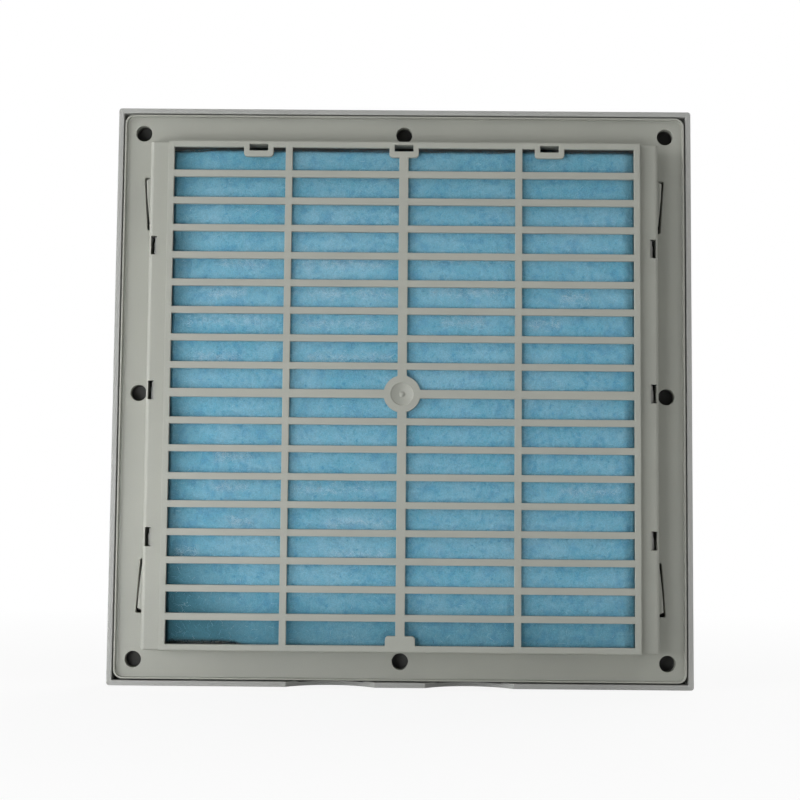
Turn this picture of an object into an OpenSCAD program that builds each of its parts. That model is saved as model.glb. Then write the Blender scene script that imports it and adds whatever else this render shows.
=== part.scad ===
// Exhaust filter grille for the wall of an equipment cabinet. X runs across, Z runs up and
// Y runs through the wall, from the cabinet side (minus) to the louvred front (plus).
// The origin is the centre of the mounting hole pattern, on the rear face of the flange.

/* [Panel cut-out] */
// Side of the square cut-out that the collar passes through
cutout_size = 224; // [185:1:300]
// Play between the collar's side walls and the cut-out, on each side
side_play = 0.6; // [0.3:0.1:1]
// Play between the collar's top and bottom walls and the cut-out, on each side
height_play = 1.4; // [0.8:0.1:2]
// How far the collar's centre lies below the centre of the hole pattern
collar_drop = 0.6; // [0:0.1:0.7]

/* [Mounting flange] */
// How far the flange reaches past the cut-out, on each side
flange_overlap = 12.5; // [11:0.5:20]
// Thickness of the flange plate
flange_t = 2.5; // [2:0.1:3.5]
// Corner radius of the flange plate
flange_corner = 4; // [1:0.5:6]
// Width of the raised lip round the flange's rear face
lip_w = 0.8; // [0.6:0.1:1.5]
// Height of the raised lip
lip_h = 1.5; // [0.8:0.1:2]
// Distance from the edge of the cut-out to the centre line of the holes
hole_margin = 4.25; // [4.2:0.05:5]
// Diameter of the mounting holes
hole_d = 7.1; // [5:0.1:7.4]
// Diameter of the boss round each mounting hole, on the front of the flange
boss_d = 11; // [9:0.5:12]
// Height of these bosses
boss_h = 3; // [1:0.5:4]
// Height of the rim round the mat opening, on the front of the flange
rim_h = 3; // [1:0.5:4]

/* [Collar] */
// How far the collar and its grille reach behind the flange
collar_depth = 14; // [12:0.5:24]
// Thickness of the collar's walls
collar_wall = 1.5; // [1.2:0.1:1.8]
// Width of the low strip down each side of the grille
strip_w = 8.5; // [7:0.1:10]
// How far the strips lie in front of the grille's rear face
strip_drop = 3.5; // [2.5:0.1:4]
// Thickness of the strips
strip_t = 1.5; // [1.2:0.1:2]
// Thickness of the riser between a strip and the grille
riser_t = 1.8; // [1.2:0.1:2.2]
// Radius of the strips' outer rear edge
strip_round = 2; // [0.5:0.1:2.5]
// Radius of the collar's corners and of its other rear edges
edge_round = 0.8; // [0.3:0.1:1]

/* [Rear grille] */
// Thickness of the grille
grille_t = 2; // [1.5:0.1:2.5]
// Width of the grille's side frame members
stile_w = 2.6; // [2.5:0.05:4]
// Width of the grille's top and bottom frame members
rail_w = 2.9; // [2.5:0.1:5]
// Columns of windows
columns = 4; // [2:2:6]
// Width of the upright bars
upright_w = 3; // [2:0.1:4]
// Width of the middle upright bar
mid_upright_w = 4; // [3:0.1:5]
// Spacing of the crossbars
crossbar_pitch = 12; // [10:0.5:16]
// Height of the crossbars
crossbar_h = 3; // [2:0.1:4]
// Height of the middle crossbar
mid_crossbar_h = 3.7; // [3:0.1:5]
// Diameter of the hub in the middle of the grille
hub_d = 16; // [12:0.5:18]
// Diameter of the dish in the hub
dish_d = 9.7; // [7:0.1:11]
// Depth of the step round the dish
dish_step = 0.5; // [0.1:0.1:0.5]
// Depth of the bowl below that step
bowl_depth = 1; // [0.5:0.1:1]
// Diameter of the nub in the middle of the bowl, at its foot
nub_d = 2.6; // [1.5:0.1:4]
// Diameter of the nub's flat tip
nub_tip_d = 1.2; // [0.5:0.1:1.4]
// Height of the nub
nub_h = 0.6; // [0.2:0.1:0.9]

/* [Clip places] */
// Distance from the foot of a latch arm to the centre of the outer clip slots
clip_margin = 8; // [7:0.5:10]
// Length of the clip slots
clip_slot_l = 8.2; // [8:0.1:9]
// Width of the side clip slots
clip_slot_w = 2.6; // [2:0.1:3]
// How far the side clip slots lie above the hole pattern's centre
side_clip_lift = 0.6; // [0:0.1:1]
// Width of the looped tabs under the top rail, and of the tab on the bottom rail
tab_w = 12.8; // [11:0.1:14]
// How far the tabs reach into the window
tab_drop = 4.15; // [3:0.05:5]
// Corner radius of the tabs
tab_round = 1.5; // [0.5:0.1:2]
// Height of the clip slots in the looped tabs
loop_slot_h = 2.9; // [2.6:0.1:3]
// Plastic left above a clip slot in the top rail
loop_bar = 1.5; // [1.2:0.1:2]

/* [Latch arms] */
// Length of a latch arm
arm_l = 23; // [18:0.5:26]
// Thickness of a latch arm
arm_t = 2; // [1.2:0.1:2.2]
// Height of a latch arm, along the depth of the collar
arm_h = 3.4; // [2.5:0.1:4]
// How far an arm's free end stands out
arm_spread = 2.3; // [1.6:0.05:2.5]
// How far an arm's middle bows out from a straight line
arm_bow = 0.25; // [0.1:0.05:0.4]
// How much shorter an arm is on its outer side than on its inner side
arm_bevel = 0.9; // [0.2:0.1:1.4]
// Distance from the flange's rear face to the arms, which is the room for the panel
panel_room = 3; // [2:0.1:4]
// Distance from the top or bottom of the collar to the free end of an arm
arm_inset = 16.1; // [14:0.1:25]
// Clear space round an arm in its window
arm_clear = 0.3; // [0.25:0.05:0.5]
// Clear space past an arm's free end
arm_end_clear = 1.7; // [1:0.1:2]
// Width of the slot in the flange beside an arm, at the arm's foot
arm_slot_foot = 2.55; // [2:0.05:3]
// Width of that slot at the arm's free end
arm_slot_end = 4.1; // [3.5:0.1:4.5]
// Distance from the arm's foot to the near end of that slot
arm_slot_inset = 1.15; // [0:0.05:2]
// Radius of that slot's corners, at the arm's foot and at its free end
arm_slot_round = 0.8; // [0.3:0.1:1]

/* [Louvred cover] */
// Gap between the flange's edge and the cover's skirt
cover_gap = 0.7; // [0.4:0.1:1]
// Thickness of the cover's skirt
skirt_wall = 2.3; // [1.8:0.1:3]
// How far the skirt reaches behind the flange's rear face
skirt_back = 1; // [0:0.1:1.4]
// Distance from the flange's rear face to the front of the cover
cover_front = 10.5; // [9:0.5:14]
// Thickness of the cover's front border
cover_t = 2.3; // [1.8:0.1:2.5]
// Corner radius of the cover, seen from the front
cover_corner = 1.3; // [0.5:0.1:3]
// Radius of the cover's front edges
cover_round = 2.5; // [0.5:0.1:3]
// Thickness of the wall round the louvres
well_wall = 1.5; // [1.2:0.1:2]
// Gap between that wall, or a clip tongue, and the inside of the collar
clip_gap = 0.5; // [0.3:0.1:0.7]
// Width of a finger notch in the bottom of the skirt, along its open edge
notch_w = 38.4; // [30:0.2:45]
// Depth of the finger notches
notch_depth = 8.5; // [5:0.1:9]
// Width of the tab between the two finger notches
notch_tab = 22; // [15:0.5:30]
// Width of a clip tongue
tongue_w = 7.8; // [5:0.1:7.8]
// Thickness of a clip tongue
tongue_t = 1; // [0.8:0.1:1.4]
// How far the side tongues end short of the strips
tongue_end_gap = 0.4; // [0.3:0.1:1]
// Length of the top tongues
top_tongue_l = 7; // [4:0.5:8]
// Height of the grip bump on the outside of a side tongue
bump_h = 0.5; // [0.2:0.1:0.6]
// Width of the grip bump
bump_w = 5.4; // [3:0.1:6]
// Length of the grip bump along the tongue
bump_l = 3; // [2:0.5:5]
// Thickness of the ribs between the cover's skirt and the wall round the louvres
cover_rib_t = 1.2; // [1:0.1:1.8]
// Such ribs along each side of the cover
cover_rib_count = 6; // [2:1:8]

/* [Louvres] */
// Least spacing of the louvre slats
slat_pitch_min = 11.6; // [11:0.2:16]
// Depth of the slats from front to back
slat_depth = 6.6; // [5:0.1:7]
// How far the slats lie back from the cover's front face
slat_inset = 0.4; // [0:0.1:1]
// How far a slat rises from its front edge to its back edge
slat_rise = 7.6; // [6:0.1:8.2]
// Upright thickness of a slat
slat_t = 2.2; // [1.6:0.1:2.6]
// Radius of the round nose along a slat's front edge
slat_nose = 0.9; // [0.6:0.1:1.1]
// Ribs across the back of the slats
rib_count = 3; // [1:1:5]
// Thickness of these ribs
rib_t = 1.6; // [1.2:0.1:2.4]
// How far the ribs lie back from the slats' front edges
rib_inset = 2; // [1:0.5:3]

/* [Filter mat] */
// Clear space round the mat where it meets the frame
mat_play = 0.4; // [0.3:0.1:0.6]
// Clear space between the mat and the cover
mat_front_play = 0.5; // [0.3:0.1:1]
// Gap above the mat, up to the collar's top wall
mat_top_gap = 2.3; // [2.3:0.1:4]
// Gap between the mat's side edges and the cover's side tongues
mat_side_gap = 0.9; // [0.5:0.1:3]
// Corner radius of the mat
mat_corner = 3; // [1:0.5:6]

/* [Hidden] */
$fn = 64;

FRAME_GREY = [0.62, 0.63, 0.59];
ARM_GREY = [0.58, 0.59, 0.55];
COVER_GREY = [0.68, 0.69, 0.66];
MAT_BLUE = [0.45, 0.68, 0.78];

// Length by which a cut runs past the faces that it opens
past = 1;

// Collar, seen from behind
collar_x = cutout_size / 2 - side_play;
collar_half_h = cutout_size / 2 - height_play;
collar_top = collar_half_h - collar_drop;
collar_bottom = -collar_half_h - collar_drop;
inside_x = collar_x - collar_wall;
inside_top = collar_top - collar_wall;
inside_bottom = collar_bottom + collar_wall;
strip_x = collar_x - strip_w;
riser_x = strip_x - riser_t;

// Depths behind the flange's rear face
grille_rear = -collar_depth;
grille_front = grille_rear + grille_t;
strip_rear = grille_rear + strip_drop;
strip_front = strip_rear + strip_t;

// Flange and its holes
flange_half = cutout_size / 2 + flange_overlap;
hole_x = cutout_size / 2 + hole_margin;
rim_front = flange_t + rim_h;
boss_front = flange_t + boss_h;

// Grille windows
window_x = strip_x - stile_w;
window_half_h = collar_half_h - rail_w;
column_pitch = 2 * window_x / columns;
crossbars_each_side = floor((window_half_h - crossbar_pitch / 2) / crossbar_pitch);

// Middle of the hub, on the grille's rear face, and the radius of its bowl
hub_z = -collar_drop;
bowl_radius = (dish_d * dish_d / 4 + bowl_depth * bowl_depth) / (2 * bowl_depth);
bowl_bottom = grille_rear + dish_step + bowl_depth;

// Latch arms: the free end's place, the foot's place and the radius of the bowed arm
arm_end_z = collar_half_h - arm_inset;
arm_foot_z = arm_end_z - arm_l;
arm_foot_x = collar_x - arm_t / 2;
arm_chord = sqrt(arm_l * arm_l + arm_spread * arm_spread);
arm_radius = (arm_chord * arm_chord / 4 + arm_bow * arm_bow) / (2 * arm_bow);
arm_front = -panel_room;
arm_rear = arm_front - arm_h;
arm_slot_end_z = arm_end_z + arm_end_clear;
clip_z = arm_foot_z - clip_margin;

// Cover
cover_half = flange_half + cover_gap + skirt_wall;
skirt_rear = -skirt_back;
border_rear = cover_front - cover_t;
skirt_in = cover_half - skirt_wall;
cover_rib_rear = rim_front + clip_gap;
well_x = inside_x - clip_gap;
well_z = inside_top - clip_gap;
field_x = well_x - well_wall;
field_z = well_z - well_wall;
slat_front = cover_front - slat_inset;
slat_rear = slat_front - slat_depth;
slat_count = floor(2 * field_z / slat_pitch_min);
slat_pitch = 2 * field_z / slat_count;
notch_radius = (notch_w * notch_w / 4 + notch_depth * notch_depth) / (2 * notch_depth);
notch_x = (notch_tab + notch_w) / 2;

// Mat
mat_x = well_x - well_wall - mat_side_gap;
mat_top = inside_top - mat_top_gap;
mat_bottom = inside_bottom + mat_play;
mat_front = slat_rear - mat_front_play;

// Extrudes an outline, drawn with X across and Z up, from y0 to y1
module along_y(y0, y1) {
    translate([0, y1, 0]) rotate([90, 0, 0]) linear_extrude(y1 - y0) children();
}

// Extrudes a section, drawn with X across and Y up, from z0 to z1
module along_z(z0, z1) {
    translate([0, 0, z0]) linear_extrude(z1 - z0) children();
}

// Extrudes a section, drawn with Y across and Z up, from x0 to x1
module along_x(x0, x1) {
    translate([x0, 0, 0]) rotate([90, 0, 90]) linear_extrude(x1 - x0) children();
}

// Rectangle between two corners
module rect(x0, y0, x1, y1) {
    translate([x0, y0]) square([x1 - x0, y1 - y0]);
}

// Rectangle between two corners, with all four corners rounded
module soft_rect(x0, y0, x1, y1, r) {
    rect(x0 + r, y0, x1 - r, y1);
    rect(x0, y0 + r, x1, y1 - r);
    for (x = [x0 + r, x1 - r], y = [y0 + r, y1 - r])
        translate([x, y]) circle(r);
}

// Block between two corners
module block(x0, y0, z0, x1, y1, z1) {
    translate([x0, y0, z0]) cube([x1 - x0, y1 - y0, z1 - z0]);
}

// Places its child, drawn in the upper right quarter, in one of the four quarters
module quarter(side, level) {
    mirror([side < 0 ? 1 : 0, 0, 0]) mirror([0, 0, level < 0 ? 1 : 0]) children();
}

// Centres of the eight mounting holes
module at_holes() {
    for (x = [-1, 0, 1], z = [-1, 0, 1])
        if (x != 0 || z != 0) translate([x * hole_x, 0, z * hole_x]) children();
}

// Outline of the flange slot beside the upper right arm
module arm_slot_outline() {
    r = arm_slot_round;
    near_x = collar_x + arm_slot_foot;
    near_z = arm_foot_z + arm_slot_inset;
    far_x = collar_x + arm_slot_end;
    polygon([
        [collar_x, near_z],
        [near_x - r, near_z],
        [near_x, near_z + r],
        [far_x, arm_slot_end_z - r],
        [far_x - r, arm_slot_end_z],
        [collar_x, arm_slot_end_z]
    ]);
    translate([near_x - r, near_z + r]) circle(r);
    translate([far_x - r, arm_slot_end_z - r]) circle(r);
}

module mounting_flange() {
    color(FRAME_GREY) difference() {
        union() {
            along_y(0, flange_t)
                soft_rect(-flange_half, -flange_half, flange_half, flange_half, flange_corner);
            along_y(-lip_h, 0) lip_outline();
            at_holes() translate([0, boss_front, 0]) rotate([90, 0, 0])
                cylinder(h = boss_front, d = boss_d);
            along_y(flange_t, rim_front)
                rect(-collar_x, collar_bottom, collar_x, collar_top);
        }
        block(-inside_x, -past, inside_bottom, inside_x, rim_front + past, inside_top);
        clip_slots(-past, rim_front + past);
        at_holes() translate([0, boss_front + past, 0]) rotate([90, 0, 0])
            cylinder(h = boss_front + 2 * past, d = hole_d);
        for (side = [-1, 1], level = [-1, 1]) quarter(side, level)
            along_y(-past, flange_t + past) arm_slot_outline();
    }
}

// Ring of the raised lip along the flange's edge
module lip_outline() {
    inner = flange_half - lip_w;
    difference() {
        soft_rect(-flange_half, -flange_half, flange_half, flange_half, flange_corner);
        soft_rect(-inner, -inner, inner, inner, flange_corner - lip_w);
    }
}

// The whole collar behind the flange, before it is parted into its four walls
module collar_form() {
    difference() {
        union() {
            intersection() {
                along_y(strip_rear, 0)
                    soft_rect(-collar_x, collar_bottom, collar_x, collar_top, edge_round);
                along_z(collar_bottom - past, collar_top + past)
                    soft_rect(-collar_x, strip_rear, collar_x, collar_depth, strip_round);
                along_x(-collar_x - past, collar_x + past)
                    soft_rect(strip_rear, collar_bottom, collar_depth, collar_top, edge_round);
            }
            block(-strip_x, grille_front, collar_bottom, strip_x, -strip_drop, collar_top);
        }
        block(-inside_x, strip_front, inside_bottom, inside_x, past, inside_top);
        block(-riser_x, grille_front - past, inside_bottom, riser_x, past, inside_top);
        clip_slots(strip_rear - past, past);
        for (side = [-1, 1], level = [-1, 1]) quarter(side, level) arm_window();
    }
}

// The six clip slots through the strips, from y0 to y1. They reach a little into the collar's
// side walls, and that groove runs on to the front, so that the slots can be moulded.
module clip_slots(y0, y1) {
    slot_out = inside_x + clip_gap;
    for (side = [-1, 1], place = [-1, 0, 1])
        translate([0, 0, side_clip_lift + place * clip_z]) quarter(side, 1)
            block(slot_out - clip_slot_w, y0, -clip_slot_l / 2, slot_out, y1, clip_slot_l / 2);
}

// Window in the side wall for the upper right arm
module arm_window() {
    block(
        inside_x - past, arm_rear - arm_clear, arm_foot_z - arm_t / 2 - arm_clear,
        collar_x + past, arm_front + arm_clear, arm_slot_end_z
    );
}

module collar_top_wall() {
    color(FRAME_GREY) intersection() {
        collar_form();
        block(-riser_x, -2 * collar_depth, inside_top, riser_x, collar_depth, cutout_size);
    }
}

module collar_bottom_wall() {
    color(FRAME_GREY) intersection() {
        collar_form();
        block(-riser_x, -2 * collar_depth, -cutout_size, riser_x, collar_depth, inside_bottom);
    }
}

// Side wall, strip and riser, with the collar's two corners on that side
module side_channel(side) {
    color(FRAME_GREY) intersection() {
        collar_form();
        quarter(side, 1)
            block(riser_x, -2 * collar_depth, -cutout_size, cutout_size, collar_depth, cutout_size);
    }
}

// Outline of the grille: frame, bars, hub, looped tabs and plain tab
module grille_outline() {
    difference() {
        union() {
            difference() {
                rect(-strip_x, collar_bottom, strip_x, collar_top);
                translate([0, hub_z]) square([2 * window_x, 2 * window_half_h], center = true);
            }
            translate([0, hub_z]) grille_bars();
            for (place = [-1, 0, 1]) translate([place * clip_z, 0]) soft_rect(
                -tab_w / 2, window_half_h - collar_drop - tab_drop,
                tab_w / 2, collar_top, tab_round
            );
            soft_rect(
                -tab_w / 2, collar_bottom,
                tab_w / 2, -window_half_h - collar_drop + tab_drop, tab_round
            );
        }
        for (place = [-1, 0, 1]) translate([place * clip_z, collar_top - loop_bar - loop_slot_h / 2])
            square([clip_slot_l, loop_slot_h], center = true);
    }
}

// Upright bars, crossbars and hub, about the middle of the grille
module grille_bars() {
    for (i = [1 : columns - 1]) {
        w = 2 * i == columns ? mid_upright_w : upright_w;
        translate([i * column_pitch - window_x, 0])
            square([w, 2 * window_half_h + rail_w], center = true);
    }
    for (i = [-crossbars_each_side : crossbars_each_side]) {
        h = i == 0 ? mid_crossbar_h : crossbar_h;
        translate([0, i * crossbar_pitch]) square([2 * window_x + stile_w, h], center = true);
    }
    circle(d = hub_d);
}

module rear_grille() {
    color(FRAME_GREY) {
        difference() {
            intersection() {
                along_y(grille_rear, grille_front) grille_outline();
                along_x(-strip_x - past, strip_x + past)
                    soft_rect(grille_rear, collar_bottom, grille_front + past, collar_top, edge_round);
            }
            hub_dish();
        }
        translate([0, bowl_bottom, hub_z]) rotate([90, 0, 0])
            cylinder(h = nub_h, d1 = nub_d, d2 = nub_tip_d);
    }
}

// The hollow in the hub: a round bowl below a short step
module hub_dish() {
    translate([0, 0, hub_z]) intersection() {
        translate([0, bowl_bottom - bowl_radius, 0]) sphere(bowl_radius);
        translate([0, bowl_bottom, 0]) rotate([90, 0, 0])
            cylinder(h = dish_step + bowl_depth + past, d = dish_d);
    }
}

// Bowed arm, drawn in the upper right quarter, with a round foot, a slanted free end and
// a lead-in on its outer edge
module latch_arm() {
    reach = collar_x + arm_spread;
    from_chord = (arm_radius - arm_bow) / arm_chord;
    centre = [
        arm_foot_x + arm_spread / 2 - from_chord * arm_l,
        arm_foot_z + arm_l / 2 + from_chord * arm_spread
    ];
    intersection() {
        along_y(arm_rear, arm_front) {
            intersection() {
                difference() {
                    translate(centre) circle(arm_radius + arm_t / 2, $fn = 256);
                    translate(centre) circle(arm_radius - arm_t / 2, $fn = 256);
                }
                polygon([
                    [arm_foot_x - arm_t, arm_foot_z],
                    [reach + arm_t, arm_foot_z],
                    [reach + arm_t, arm_end_z - 2 * arm_bevel],
                    [reach, arm_end_z - arm_bevel],
                    [reach - arm_t, arm_end_z],
                    [arm_foot_x - arm_t, arm_end_z]
                ]);
            }
            translate([arm_foot_x, arm_foot_z]) circle(d = arm_t);
        }
        along_z(arm_foot_z - arm_l, arm_end_z + arm_l) polygon([
            [arm_foot_x - arm_l, arm_front + past],
            [reach + past, arm_front + past],
            [reach + past, arm_front - arm_h / 2],
            [reach - arm_h / 2, arm_rear - arm_h / 4],
            [arm_foot_x - arm_l, arm_rear - arm_h / 4]
        ]);
    }
}

module placed_arm(side, level) {
    color(ARM_GREY) quarter(side, level) latch_arm();
}

module filter_mat() {
    color(MAT_BLUE) {
        along_y(strip_front + mat_play, mat_front)
            soft_rect(-mat_x, mat_bottom, mat_x, mat_top, mat_corner);
        along_y(grille_front + mat_play, strip_front + mat_play)
            soft_rect(-riser_x + mat_play, mat_bottom, riser_x - mat_play, mat_top, mat_corner);
    }
}

// Outer body of the cover, with round front edges
module cover_body() {
    intersection() {
        along_y(skirt_rear, cover_front)
            soft_rect(-cover_half, -cover_half, cover_half, cover_half, cover_corner);
        along_z(-cover_half - past, cover_half + past)
            soft_rect(-cover_half, skirt_rear - cover_half, cover_half, cover_front, cover_round);
        along_x(-cover_half - past, cover_half + past)
            soft_rect(skirt_rear - cover_half, -cover_half, cover_front, cover_half, cover_round);
    }
}

// Ribs from side to side behind the cover's border, which the louvre opening parts in two
module cover_ribs() {
    for (i = [1 : cover_rib_count]) {
        x = i * 2 * well_x / (cover_rib_count + 1) - well_x;
        z = i * 2 * well_z / (cover_rib_count + 1) - well_z;
        along_y(cover_rib_rear, border_rear + past) {
            translate([x, 0]) square([cover_rib_t, 2 * skirt_in + past], center = true);
            translate([0, z]) square([2 * skirt_in + past, cover_rib_t], center = true);
        }
    }
}

module cover_shell() {
    color(COVER_GREY) difference() {
        union() {
            difference() {
                cover_body();
                block(-skirt_in, skirt_rear - past, -skirt_in, skirt_in, border_rear, skirt_in);
            }
            along_y(slat_rear, border_rear) rect(-well_x, -well_z, well_x, well_z);
            cover_ribs();
        }
        block(-field_x, slat_rear - past, -field_z, field_x, cover_front + past, field_z);
        for (side = [-1, 1])
            translate([side * notch_x, skirt_rear + notch_depth - notch_radius, -cover_half - past])
                cylinder(h = skirt_wall + 2 * past, r = notch_radius, $fn = 128);
    }
}

// Section of one slat: it rises from its round front nose to its back edge
module slat_section() {
    nose_y = slat_front - slat_nose;
    nose_z = -slat_rise / 2;
    polygon([
        [slat_rear, slat_rise / 2 - slat_t / 2],
        [slat_rear, slat_rise / 2 + slat_t / 2],
        [nose_y, nose_z + slat_t / 2],
        [nose_y, nose_z - slat_nose]
    ]);
    translate([nose_y, nose_z]) circle(slat_nose);
}

module louvre_slats() {
    rib_pitch = 2 * field_x / (rib_count + 1);
    color(COVER_GREY) {
        for (i = [0 : slat_count - 1])
            along_x(-field_x, field_x)
                translate([0, (i - (slat_count - 1) / 2) * slat_pitch]) slat_section();
        for (i = [1 : rib_count])
            along_z(-field_z, field_z)
                translate([i * rib_pitch - field_x, (slat_rear + slat_front - rib_inset) / 2])
                    square([rib_t, slat_depth - rib_inset], center = true);
    }
}

// Clip tongue on the cover's right, about its own middle, with a grip bump near its end
module side_tongue() {
    side_end = strip_front + tongue_end_gap;
    tongue_out = field_x + tongue_t;
    block(field_x, side_end, -tongue_w / 2, tongue_out, slat_rear, tongue_w / 2);
    along_z(-tongue_w / 2, bump_w - tongue_w / 2) polygon([
        [field_x, side_end],
        [tongue_out, side_end],
        [tongue_out + bump_h, side_end + bump_l / 3],
        [tongue_out + bump_h, side_end + bump_l * 2 / 3],
        [tongue_out, side_end + bump_l],
        [field_x, side_end + bump_l]
    ]);
}

module cover_clip_tongues() {
    top_end = slat_rear - top_tongue_l;
    color(COVER_GREY) for (place = [-1, 0, 1]) {
        x = place * clip_z;
        block(x - tongue_w / 2, top_end, field_z, x + tongue_w / 2, slat_rear, field_z + tongue_t);
        for (side = [-1, 1]) translate([0, 0, side_clip_lift + place * clip_z])
            quarter(side, 1) side_tongue();
    }
}

mounting_flange();
collar_top_wall();
collar_bottom_wall();
side_channel(-1);  // collar_left_channel
side_channel(1);  // collar_right_channel
rear_grille();
placed_arm(-1, 1);  // latch_arm_upper_left
placed_arm(1, 1);  // latch_arm_upper_right
placed_arm(-1, -1);  // latch_arm_lower_left
placed_arm(1, -1);  // latch_arm_lower_right
filter_mat();
cover_shell();
louvre_slats();
cover_clip_tongues();
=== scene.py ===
"""Finish and stage for an exhaust filter grille, seen from the cabinet side.

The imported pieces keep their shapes. Their moulded edges are eased and they get grained plastic.
The filter mat is modelled here as a soft pad of bonded fibre, which swells a little between the
grille's bars, with loose strands on its face and along its cut edges. Lengths are in metres.
"""

import math

import bpy
import numpy as np
from mathutils import Euler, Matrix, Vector


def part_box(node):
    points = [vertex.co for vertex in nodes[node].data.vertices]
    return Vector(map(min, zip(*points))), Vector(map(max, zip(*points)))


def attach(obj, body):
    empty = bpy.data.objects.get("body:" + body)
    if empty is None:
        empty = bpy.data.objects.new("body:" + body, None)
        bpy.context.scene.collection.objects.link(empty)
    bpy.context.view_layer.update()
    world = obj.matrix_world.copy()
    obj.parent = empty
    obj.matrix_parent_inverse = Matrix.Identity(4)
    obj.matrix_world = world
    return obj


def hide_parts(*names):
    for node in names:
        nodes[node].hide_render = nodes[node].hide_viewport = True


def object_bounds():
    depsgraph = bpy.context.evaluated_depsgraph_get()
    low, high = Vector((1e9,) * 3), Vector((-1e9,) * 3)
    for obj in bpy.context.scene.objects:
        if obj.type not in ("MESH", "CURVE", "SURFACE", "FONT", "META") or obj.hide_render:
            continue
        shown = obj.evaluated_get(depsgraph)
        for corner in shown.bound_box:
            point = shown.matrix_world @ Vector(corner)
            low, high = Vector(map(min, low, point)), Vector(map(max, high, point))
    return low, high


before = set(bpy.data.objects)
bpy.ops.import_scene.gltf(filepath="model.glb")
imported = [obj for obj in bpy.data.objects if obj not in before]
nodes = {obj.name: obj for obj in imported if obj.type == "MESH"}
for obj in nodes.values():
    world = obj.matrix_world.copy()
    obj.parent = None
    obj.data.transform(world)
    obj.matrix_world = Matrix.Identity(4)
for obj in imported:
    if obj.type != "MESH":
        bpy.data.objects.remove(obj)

MM = 0.001
cad_low, cad_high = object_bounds()

# Camera, fitted to the holes and edges in the photograph
CAMERA_PLACE_MM = (2.46, -638.9, -49.5)
CAMERA_TURN_DEG = (94.234, -0.497, 0.267)
CAMERA_LENS_MM = 65.43
CAMERA_SENSOR_MM = 36.0
CAMERA_NEAR = 0.01
CAMERA_FAR = 60.0

# Studio floor
FLOOR_RADIUS = 14.0
FLOOR_CORNERS = 96
FLOOR_SURFACE = {"Base Color": (0.93, 0.93, 0.92, 1.0), "Roughness": 0.9}
FLOOR_FADE = (0.12, 0.55)
FLOOR_GLOW_NEAR = 0.88

# White surroundings, and their brightness on each side with the side's axis and its sign
SKY_TONE = (1.0, 1.0, 1.0, 1.0)
PLAIN_GLOW = {"Color": SKY_TONE, "Strength": 1.0}
SKY_SIDES = (
    ("X", -1, 0.10),
    ("X", 1, 0.03),
    ("Z", 1, 0.05),
    ("Z", -1, 0.10),
    ("Y", -1, 0.15),
    ("Y", 1, 0.70),
)

# Soft lamps, which the camera doesn't see
WHITE = (1.0, 1.0, 1.0)
CREAM = (1.0, 1.0, 0.97)
LAMPS = {
    "left_softbox": {"place": (-1.5, -0.7, 0.1), "size": 1.2, "watts": 21.3, "tone": WHITE},
    "low_left_lamp": {"place": (-0.28, -0.12, -0.11), "size": 0.10, "watts": 0.12, "tone": WHITE},
    "low_front_lamp": {"place": (-0.20, -0.45, -0.11), "size": 0.15, "watts": 0.85, "tone": WHITE},
    "low_right_lamp": {"place": (0.30, -0.25, -0.11), "size": 0.10, "watts": 0.08, "tone": WHITE},
    "high_left_lamp": {"place": (-0.30, -0.30, 0.50), "size": 0.30, "watts": 0.42, "tone": CREAM},
    "high_right_lamp": {"place": (0.8, -0.5, 0.9), "size": 0.60, "watts": 3.0, "tone": CREAM},
    "louvre_softbox": {"place": (0.9, 1.5, 1.1), "size": 1.4, "watts": 15.0, "tone": WHITE},
}

# Easing of the moulded edges, least on the channels, which have the shortest edges
FRAME_EASE = 0.22 * MM
CHANNEL_EASE = 0.08 * MM
COVER_EASE = 0.30 * MM
ARM_EASE = 0.12 * MM
EASE_STEPS = 2
EASE_ANGLE = math.radians(35)
FLAT_ANGLE = math.radians(0.5)
SAME_POINT = 0.001 * MM
WIDE_FACES_FIRST = 100

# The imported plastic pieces, by how they are finished
FRAME_NODES = (
    "mounting_flange",
    "collar_top_wall",
    "collar_bottom_wall",
    "rear_grille",
)
CHANNEL_NODES = ("collar_left_channel", "collar_right_channel")
ARM_NODES = (
    "latch_arm_upper_left",
    "latch_arm_upper_right",
    "latch_arm_lower_left",
    "latch_arm_lower_right",
)
COVER_NODES = ("cover_shell", "louvre_slats", "cover_clip_tongues")

# The hollow between flange and cover, which the holes and slots look into, where shade is painted
# dark on the plastic
HOLLOW_REAR = 2.55 * MM
HOLLOW_FRONT = 8.3 * MM
HOLLOW_INSIDE = 110.5 * MM
HOLLOW_OUTSIDE = 125.1 * MM
HOLLOW_FADE = 1.05 * MM

# The mat's seat in the collar, where shade is painted too
COLLAR_MIDDLE = -0.6 * MM
SEAT_REAR = -6.9 * MM
SEAT_FRONT = -2.2 * MM
SEAT_INSIDE = 108.8 * MM
SEAT_OUTSIDE = 110.3 * MM
SEAT_FADE = 1.5 * MM
SHADE_FADE = 0.1 * MM

# Layout of the grille, which the mat swells through
CROSSBAR_PITCH = 12.0 * MM
COLUMNS = 4
WINDOW_REACH = 100.3 * MM
HALF_CROSSBAR = 1.5 * MM
HALF_UPRIGHT = 2.0 * MM
HUB_RADIUS = 8.0 * MM
TAB_PLACES = (-63.5 * MM, 0.0, 63.5 * MM)
HALF_TAB = 6.4 * MM
TAB_DROP = 4.15 * MM
RAIL_HEIGHT = 2.9 * MM

# Filter mat: its mesh
MAT_COLUMNS = 190
MAT_ROWS = 200
MAT_SIDE_COLUMNS = (0.0, 0.25, 0.6, 1.1, 1.6, 3.0, 5.0, 6.3)
MAT_SIDE_RINGS = 14
MAT_SIDE_STEP = 6.3 * MM
MAT_STEP_DEPTH = 3.0 * MM
STEP_MARGIN = 0.1 * MM
MAT_EDGE_ROUND = 1.3 * MM
MAT_CORNER = 3.0 * MM
MAT_SEED = 41
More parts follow.
